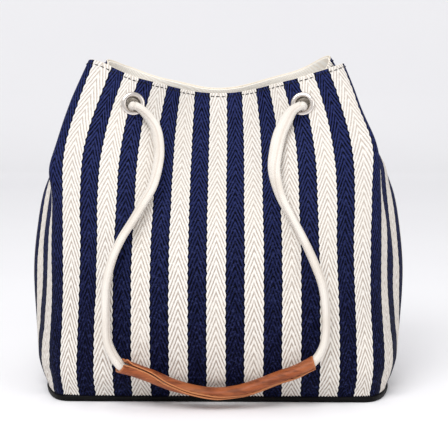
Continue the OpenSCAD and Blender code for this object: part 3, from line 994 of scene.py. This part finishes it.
# ---- cloth panels
def panel(name, girths, rises, outer, inner, material, holes=(), cap=0.0, seam_dip=0.0):
    """Sheet of cloth with its own thickness, open at eyelet holes.

    outer and inner are its two depths; cap rounds its top edge. seam_dip
    sinks the outside at its two side seams."""
    ng, nr = len(girths), len(rises)

    def dip(g):
        to_seam = np.minimum(g - girths[0], girths[-1] - g) / 100 * QUARTER_CUT
        return seam_dip * np.exp(-((to_seam / (1.6 * MM)) ** 2))

    g, r = as_lists(*np.meshgrid(girths, rises, indexing="ij"))
    points = [on(g, r, outer - dip(g)), on(g, r, inner)]
    # the angles at which the cloth's rounded top edge is drawn
    half = (outer - inner) / 2
    roll = np.radians([30, 60, 90, 120, 150]) if cap else []
    for a in roll:
        depth = outer - half + half * math.cos(a) - dip(girths) * (1 + math.cos(a)) / 2
        points.append(on(girths, rises[-1], depth, cap * math.sin(a)))
    points = np.concatenate(points)

    def at(layer, i, j):
        return layer * ng * nr + i * nr + j

    centres = [(cloth(g, EYELET_RISE)[0], directions(g, EYELET_RISE)[0][0]) for g in holes]
    # cells that an eyelet hole takes away
    gone = np.zeros((ng - 1, nr - 1), bool)
    middles = [(a[1:] + a[:-1]) / 2 for a in (girths, rises)]
    mids = cloth(*np.meshgrid(*middles, indexing="ij")).reshape(ng - 1, nr - 1, 3)
    for centre, out in centres:
        gap = mids - centre
        beside = gap - (gap @ out)[..., None] * out
        near = np.linalg.norm(beside, axis=2) < HOLE_R
        gone |= near & (np.abs(gap @ out) < 0.01)
    by_hole = np.pad(gone, 1)
    faces, walls = [], []
    for i in range(ng - 1):
        for j in range(nr - 1):
            if gone[i, j]:
                continue
            faces.append((at(0, i, j), at(0, i + 1, j), at(0, i + 1, j + 1), at(0, i, j + 1)))
            faces.append((at(1, i, j), at(1, i, j + 1), at(1, i + 1, j + 1), at(1, i + 1, j)))
            around = (
                (i - 1, j, (i, j + 1), (i, j)),
                (i + 1, j, (i + 1, j), (i + 1, j + 1)),
                (i, j - 1, (i, j), (i + 1, j)),
                (i, j + 1, (i + 1, j + 1), (i, j + 1)),
            )
            for a, b, p, q in around:
                if by_hole[a + 1, b + 1]:
                    walls.append((at(0, *q), at(0, *p), at(1, *p), at(1, *q)))
    faces += walls
    edge = {v for f in walls for v in f}
    for centre, out in centres:
        for v in edge:
            gap = points[v] - centre
            beside = gap - gap.dot(out) * out
            size = np.linalg.norm(beside)
            if size < 2 * HOLE_R:
                points[v] = centre + gap.dot(out) * out + beside / size * HOLE_R
    rows_up = [2 * ng * nr + k * ng for k in range(len(roll))]

    def over_top(i):
        """A column's points over the top edge, from outside to inside."""
        return [at(0, i, nr - 1), *(row + i for row in rows_up), at(1, i, nr - 1)]

    for i in range(ng - 1):
        faces.append((at(0, i + 1, 0), at(0, i, 0), at(1, i, 0), at(1, i + 1, 0)))
        here, there = over_top(i), over_top(i + 1)
        faces += zip(here, there, there[1:], here[1:])
    for i, way in ((0, 1), (ng - 1, -1)):
        side = [(at(0, i, j), at(0, i, j + 1), at(1, i, j + 1), at(1, i, j))
                for j in range(nr - 1)]
        side += [over_top(i)] if cap else []
        faces += [f[::way] for f in side]
    ob = mesh_object(name, points, faces, material)

    def cut(g, v):
        return np.stack(as_lists(g / 100 * QUARTER_CUT, v), 1)

    v = r / 100 * HEIGHT_CUT
    flat = [cut(g, v), cut(g, 2 * HEIGHT_CUT + CANVAS_T - v)]
    flat += [cut(girths, HEIGHT_CUT + cap * (1 - math.cos(a))) for a in roll]
    flat = np.concatenate(flat)
    layer = ob.data.uv_layers.new(name="cloth")
    loops = np.empty(len(ob.data.loops), dtype=int)
    ob.data.loops.foreach_get("vertex_index", loops)
    layer.data.foreach_set("uv", flat[loops].ravel())
    return ob


HOLE_R = 7.4 * MM
CANVAS_T = 1.6 * MM
LINING_OUT = -2.0 * MM
LINING_IN = -2.8 * MM
FACING_IN = -3.2 * MM
# Shares of the canvas's cut size: both are a little narrower, being inside it
LINING_TALL = 0.844
FACING_TALL = 0.128
CLOTH_STEP = 1.25
NEAR_SEAM = np.array([0, 0.3, 0.6, 1.0])


def panel_girths(middle, step):
    """Columns of half the bag, just short of its seams and closer by them."""
    low, high = middle - 99.95, middle + 99.95
    return np.concatenate([low + NEAR_SEAM, spaced(low + 1.6, high - 1.6, step),
                           high - NEAR_SEAM[::-1]])


def canvas_panels():
    """Canvas, lining and facing of each half of the bag."""
    for which, middle, gusset in (("front", 0, "gusset_right"), ("back", 200, "gusset_left")):
        girths = panel_girths(middle, CLOTH_STEP)
        holes = (middle - EYELET_GIRTH, middle + EYELET_GIRTH)
        ob = panel(f"canvas_{which}", girths, spaced(0, 100, 0.9), 0.0, -CANVAS_T, CANVAS,
                   holes, cap=0.8 * MM, seam_dip=0.9 * MM)
        belongs(ob, "bag", "canvas", f"outer_{which}", gusset)
        lining = panel(f"lining_sheet_{which}", panel_girths(middle, 2.5), spaced(2, 86.4, 2),
                       LINING_OUT, LINING_IN, CREAM_TWILL)
        facing = panel(f"facing_sheet_{which}", girths, spaced(86.8, 99.8, 0.9), LINING_OUT,
                       FACING_IN, CREAM_TWILL, holes, cap=0.6 * MM)
        for piece, node, tall in ((lining, "lining", LINING_TALL), (facing, "facing", FACING_TALL)):
            belongs(piece, "bag", "lining", f"{node}_{which}")
            HEIGHT_CUT * tall


canvas_panels()


# ---- base
ALL_ROUND = spaced(-200, 198, 2)


def ring_of(rise, depth, height=None):
    """Points all round the bag; depth and height are in millimetres."""
    ring = on(ALL_ROUND, rise, depth * MM)
    if height is not None:
        ring[:, 2] = height * MM
    return ring


def base_cover():
    """Dark floor whose edge turns up in a low rounded band."""
    centre = ring_of(0, 1.5).mean(axis=0) * [1, 1, 0]

    def floor_rings(depth, height, shares):
        spokes = ring_of(0, depth, height) - centre
        return [centre + spokes * [share, share, 1] for share in shares]

    # rise, depth and height, from under the edge up round it to the top
    edges = [
        (0, 0.3, 0), (0, 1.1, 0.25), (0, 1.5, 0.9), (0.35, 1.6), (0.7, 1.5), (0.95, 1.1),
        (1.0, 0.7), (0.95, 0.3), (0.3, 0.3), (0, 0.3, 1.8),
    ]
    rings = floor_rings(1.5, 0, (0.02, 0.4, 0.8)) + [ring_of(*edge) for edge in edges]
    rings += floor_rings(0.3, 1.8, (0.8, 0.4, 0.02))
    ob = loft("base_cover", rings, BLACK_LEATHER)
    belongs(ob, "bag", "base_leather", "base_panel")


base_cover()


def floor_lining():
    """Cream lining over the base board, slightly puckered."""
    outer = ring_of(0, LINING_IN / MM - 0.6)
    centre = outer.mean(axis=0)
    rings = []
    shares = (0.03, 0.2, 0.4, 0.6, 0.75, 0.88, 0.96, 1.0)
    pucker = 0.35 * MM
    for low, order in ((4.9 * MM, shares), (5.7 * MM, shares[::-1])):
        for share in order:
            ring = centre + (outer - centre) * [share, share, 0]
            ripple = pucker * np.sin(ring[:, 0] * 60 + 1) * np.sin(ring[:, 1] * 85)
            ring[:, 2] = low + pucker + ripple * (1 - share**6)
            rings.append(ring)
    ob = loft("lining_floor", rings, CREAM_TWILL)
    belongs(ob, "bag", "lining", "lining_base")


floor_lining()


# ---- round fittings
def axes_at(girth, rise):
    """A place on the cloth with its outward, sideways and upward directions."""
    p = designed(girth, rise)[0]
    out, up, _ = directions(girth, rise)
    side = np.cross(up[0], out[0])
    return p, out[0], side / np.linalg.norm(side), up[0]


TURNED_SIDES = 64


def lathe(name, place, profile, material):
    """Turned part: the profile's points are radius and height, in mm."""
    p, out, side, up = place
    rings = [circle(p + h * MM * out, r * MM, side, up, TURNED_SIDES) for r, h in profile]
    return loft(name, rings, material, joined=True)


def rounded(profile, radius):
    """A closed profile with its corners rounded."""
    result = []
    for k in range(len(profile)):
        a, b, c = (np.array(profile[(k + d) % len(profile)], float) for d in (-1, 0, 1))
        sides = [(d, np.linalg.norm(d)) for d in (a - b, c - b)]
        cut_in = min(radius, *(0.45 * long for _, long in sides))
        start, end = (b + d / long * cut_in for d, long in sides)
        for u in np.linspace(0, 1, 5):
            result.append(((1 - u) ** 2) * start + 2 * u * (1 - u) * b + u**2 * end)
    return result


def eyelets():
    """Plated rings whose collars go through canvas and facing."""
    for where, girth in EYELETS.items():
        place = axes_at(girth, EYELET_RISE)
        profile = rounded(
            [(6.5, -6.4), (7.3, -6.4), (7.3, 0.25), (11.0, 0.3), (10.9, 1.1), (9.9, 1.8),
             (8.1, 2.0), (7.0, 1.5), (6.5, 0.4)], 0.7)
        ob = lathe(f"eyelet_ring_{where}", place, profile, NICKEL)
        # painted shade: the bore is painted dark brown, for the shade inside the hole
        bore_shade = [float(r < 6.9 and h < 0.6) for r, h in profile]
        mark_points(ob, "shade_in_hollows", np.repeat(bore_shade, TURNED_SIDES))
        belongs(ob, "bag", "eyelet_metal", f"eyelet_{where}")


def tube_rings(path, radius, sides, rounded_ends=True):
    """Rings of a round tube; its ends may be rounded over."""
    frames = turning_frames(path, (0.1, 0.2, 1))
    rings = [circle(p, radius, *frame, sides) for p, frame in zip(path, frames)]
    if not rounded_ends:
        return rings
    t = tangents(path)
    for a in np.radians([30, 55, 80]):
        over = radius * math.sin(a)
        small = radius * math.cos(a)
        rings.insert(0, circle(path[0] - over * t[0], small, *frames[0], sides))
        rings.append(circle(path[-1] + over * t[-1], small, *frames[-1], sides))
    return rings


# Knot inside each eyelet, in millimetres: its middle radius and how far its
# loops stand off this, how far in it lies, and the radius of its cord
KNOT_R = 5.4
KNOT_LOBE = 1.9
KNOT_IN = 17.5
KNOT_CORD_R = 3.4


def rope_ends():
    """Stub through each eyelet, with the knot that holds it."""
    made = {}
    spacing = (0.003, 0.03)
    for where, girth in EYELETS.items():
        p, out, side, up = axes_at(girth, EYELET_RISE)
        # it lies low in the eyelet, and reaches the place the rope bends about
        stub = np.array([p + h * MM * out - LOW_IN_HOLE * smooth((h + 14) / 10) * up
                         for h in np.linspace(-24, 8, 17)])
        rings = tube_rings(stub, 0.33 * ROPE_D, 24)
        main = loft(f"rope_end_{where}_stub", rings, CORD, spacing=spacing)
        # overhand knot: a trefoil, drawn tight round the stub
        knot = []
        for a in np.linspace(0, 2 * math.pi, 61):
            r = (KNOT_R + KNOT_LOBE * math.cos(3 * a)) * MM
            knot.append(p + (3.0 * math.sin(3 * a) - KNOT_IN) * MM * out
                        + r * (math.cos(2 * a) * side + math.sin(2 * a) * up))
        rings = tube_rings(np.array(knot), KNOT_CORD_R * MM, 14, rounded_ends=False)
        coil = loft(f"rope_end_{where}_knot", rings, CORD, spacing=spacing)
        belongs(main, "bag", "rope", f"rope_end_{where}")
        belongs(coil, "bag", "rope")
        made[where] = [main, coil]
    return made


eyelets()
ends = rope_ends()


def snap_patches():
    for where, girth in (("front", 0), ("back", 200)):
        place = axes_at(girth, SNAP_RISE)
        low, high = FACING_IN / MM - 1.1, FACING_IN / MM - 0.3
        profile = rounded([(0.3, low), (11, low), (11, high), (0.3, high)], 0.35)
        ob = lathe(f"snap_leather_{where}", place, profile, COGNAC)
        belongs(ob, "bag", "tan_leather", f"snap_patch_{where}")


snap_patches()


def dress(names, material):
    """A better material for CAD nodes whose shape stays."""
    for name in names:
        ob = bpy.data.objects[name]
        ob.data.materials.clear()
        ob.data.materials.append(material)


dress([f"washer_{where}" for where in EYELETS], NICKEL)
dress(["snap_stud", "snap_socket"], SNAP_STEEL)
dress(["base_board"], BOARD)


# ---- the pieces that go with each cord, listed and not kept
for which, (cord_ob, line) in ropes.items():
    ([grips[which][0], grip_threads[which]]
        + [piece for side in ("left", "right") for piece in ends[f"{which}_{side}"]])


# ---- studio
def floor():
    """Pale floor that sweeps up far behind the bag."""
    n = 25
    lines = np.linspace(-3, 3, n)
    points = [(x, y, -0.0002 + 1.6 * smooth((y - 2) / 1.2)) for x in lines for y in lines]
    corners = [i * n + j for i in range(n - 1) for j in range(n - 1)]
    faces = [(a, a + n, a + n + 1, a + 1) for a in corners]
    mesh_object("floor", points, faces, floor_material())


def area_light(name, place, aim, size, power):
    data = bpy.data.lights.new(name, "AREA")
    data.shape = "RECTANGLE"
    data.size, data.size_y = size
    data.energy = power
    ob = add_object(name, data)
    ob.location = place
    ob.rotation_euler = (Vector(aim) - Vector(place)).to_track_quat("-Z", "Y").to_euler()


def studio():
    world = bpy.data.worlds.new("studio")
    world.use_nodes = True
    sky = world.node_tree.nodes["Background"].inputs
    sky["Color"].default_value = (1.0, 1.0, 1.0, 1)
    sky["Strength"].default_value = 0.75
    bpy.context.scene.world = world
    area_light("key", (-0.5, -1.3, 1.7), (0, 0, 0.14), (1.4, 1.0), 26)
    area_light("fill", (1.4, -1.0, 0.9), (0, 0, 0.15), (1.2, 1.2), 5)
    bpy.context.scene.view_settings.view_transform = "Standard"


floor()
studio()
